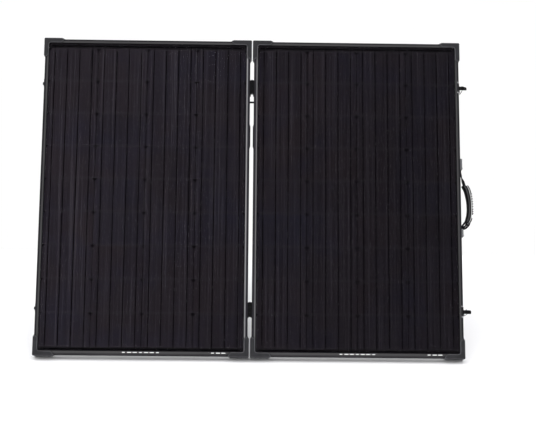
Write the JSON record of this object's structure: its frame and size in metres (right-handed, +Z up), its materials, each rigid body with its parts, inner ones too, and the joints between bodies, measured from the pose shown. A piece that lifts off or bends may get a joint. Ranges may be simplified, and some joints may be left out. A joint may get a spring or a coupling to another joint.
{
  "type": "folding solar panel",
  "caption": "Two framed black solar panels hinged to fold face to face, standing on rear legs, with corner guards, side latches and a carrying handle.",
  "frame": {"origin": "on the ground, at the centre of the standing object's box", "axes": "+X along the pair of panels towards the carrying handle, +Y to the rear, +Z up; the glass faces -Y and up"},
  "size_m": [1.3776, 0.5003, 0.9403],
  "materials": {
    "anodised_rail": "black anodised, satin",
    "guard_plastic": "fine moulded texture",
    "bare_aluminium": "satin",
    "cover_glass": "clear, low-iron",
    "cell_silicon": "anti-reflection coated",
    "ribbon_black": "black coated ribbon",
    "backsheet_black": "matt film",
    "box_plastic": "moulded",
    "diode_epoxy": "epoxy",
    "black_rubber": "soft",
    "black_steel": "black coated",
    "bright_steel": "zinc plated",
    "grey_cap": "moulded",
    "cable_jacket": "smooth jacket"
  },
  "bodies": {
    "right_panel": {"right_rail_top": "anodised_rail", "right_rail_bottom": "anodised_rail", "right_rail_inner": "anodised_rail", "right_rail_outer": "anodised_rail", "right_corner_keys": "bare_aluminium", "right_corner_guards": "guard_plastic", "right_glass": "cover_glass", "right_cells": "cell_silicon", "right_ribbons": "ribbon_black", "right_backsheet": "backsheet_black", "right_box_base": "box_plastic", "right_box_lid": "box_plastic", "right_cable_gland": "box_plastic", "right_bypass_diodes": "diode_epoxy", "right_gap_bumper": "black_rubber", "right_track": "bare_aluminium", "right_leg_bracket": "bare_aluminium", "right_fasteners": "bright_steel", "right_hinge_leaves": "black_steel", "hinge_pins": "black_steel", "latch_bases": "black_steel", "handle_end_caps": "grey_cap", "link_cable": "cable_jacket"},
    "left_panel": {"left_rail_top": "anodised_rail", "left_rail_bottom": "anodised_rail", "left_rail_inner": "anodised_rail", "left_rail_outer": "anodised_rail", "left_corner_keys": "bare_aluminium", "left_corner_guards": "guard_plastic", "left_glass": "cover_glass", "left_cells": "cell_silicon", "left_ribbons": "ribbon_black", "left_backsheet": "backsheet_black", "left_box_base": "box_plastic", "left_box_lid": "box_plastic", "left_cable_gland": "box_plastic", "left_bypass_diodes": "diode_epoxy", "left_gap_bumper": "black_rubber", "left_track": "bare_aluminium", "left_leg_bracket": "bare_aluminium", "left_fasteners": "bright_steel", "left_hinge_leaves": "black_steel", "latch_keepers": "black_steel"},
    "right_leg": {"right_leg": "bare_aluminium", "right_leg_foot": "black_rubber"},
    "left_leg": {"left_leg": "bare_aluminium", "left_leg_foot": "black_rubber"},
    "right_brace": {"right_brace": "bare_aluminium", "right_slot_rivet": "bright_steel"},
    "left_brace": {"left_brace": "bare_aluminium", "left_slot_rivet": "bright_steel"},
    "right_knob": {"right_knob": "box_plastic"},
    "left_knob": {"left_knob": "box_plastic"},
    "upper_lever": {"upper_latch_lever": "black_steel"},
    "upper_loop": {"upper_latch_loop": "bright_steel"},
    "lower_lever": {"lower_latch_lever": "black_steel"},
    "lower_loop": {"lower_latch_loop": "bright_steel"},
    "handle": {"handle_strap": "black_rubber", "handle_grip": "black_rubber"}
  },
  "joints": [
    {"name": "panel_fold", "type": "hinge", "parent": "right_panel", "child": "left_panel", "pos_m": [-0.01665, -0.03551, 0.47933], "axis": [0, 0.4226, 0.9063], "range_deg": [0, 180], "deforming": ["link_cable"]},
    {"name": "right_leg_swing", "type": "hinge", "parent": "right_panel", "child": "right_leg", "pos_m": [0.60915, 0.06653, 0.64139], "axis": [-1, 0, 0], "range_deg": [0, 40]},
    {"name": "right_brace_swing", "type": "hinge", "parent": "right_leg", "child": "right_brace", "pos_m": [0.60915, 0.12606, 0.41923], "axis": [-1, 0, 0], "range_deg": [-80, 0]},
    {"name": "right_knob_turn", "type": "hinge", "parent": "right_leg", "child": "right_knob", "pos_m": [0.59515, 0.12606, 0.41923], "axis": [1, 0, 0], "range_deg": [0, 180]},
    {"name": "left_leg_swing", "type": "hinge", "parent": "left_panel", "child": "left_leg", "pos_m": [-0.64245, 0.06653, 0.64139], "axis": [-1, 0, 0], "range_deg": [0, 40]},
    {"name": "left_brace_swing", "type": "hinge", "parent": "left_leg", "child": "left_brace", "pos_m": [-0.64245, 0.12606, 0.41923], "axis": [-1, 0, 0], "range_deg": [-80, 0]},
    {"name": "left_knob_turn", "type": "hinge", "parent": "left_leg", "child": "left_knob", "pos_m": [-0.62845, 0.12606, 0.41923], "axis": [1, 0, 0], "range_deg": [0, 180]},
    {"name": "upper_lever_turn", "type": "hinge", "parent": "right_panel", "child": "upper_lever", "pos_m": [0.65295, 0.13086, 0.80062], "axis": [0, 0.4226, 0.9063], "range_deg": [0, 90]},
    {"name": "upper_loop_turn", "type": "hinge", "parent": "upper_lever", "child": "upper_loop", "pos_m": [0.66095, 0.13086, 0.80062], "axis": [0, 0.4226, 0.9063], "range_deg": [-270, 0]},
    {"name": "lower_lever_turn", "type": "hinge", "parent": "right_panel", "child": "lower_lever", "pos_m": [0.65295, -0.17491, 0.14491], "axis": [0, 0.4226, 0.9063], "range_deg": [0, 90]},
    {"name": "lower_loop_turn", "type": "hinge", "parent": "lower_lever", "child": "lower_loop", "pos_m": [0.66095, -0.17491, 0.14491], "axis": [0, 0.4226, 0.9063], "range_deg": [-270, 0]},
    {"name": "handle_slide", "type": "slide", "parent": "right_panel", "child": "handle", "axis": [0, 0.4226, 0.9063], "range_m": [0, 0.01]}
  ],
  "couplings": [
    {"joint": "right_brace_swing", "follows": "right_leg_swing", "ratio": -2},
    {"joint": "left_brace_swing", "follows": "left_leg_swing", "ratio": -2},
    {"joint": "upper_loop_turn", "follows": "upper_lever_turn", "ratio": -3},
    {"joint": "lower_loop_turn", "follows": "lower_lever_turn", "ratio": -3}
  ]
}
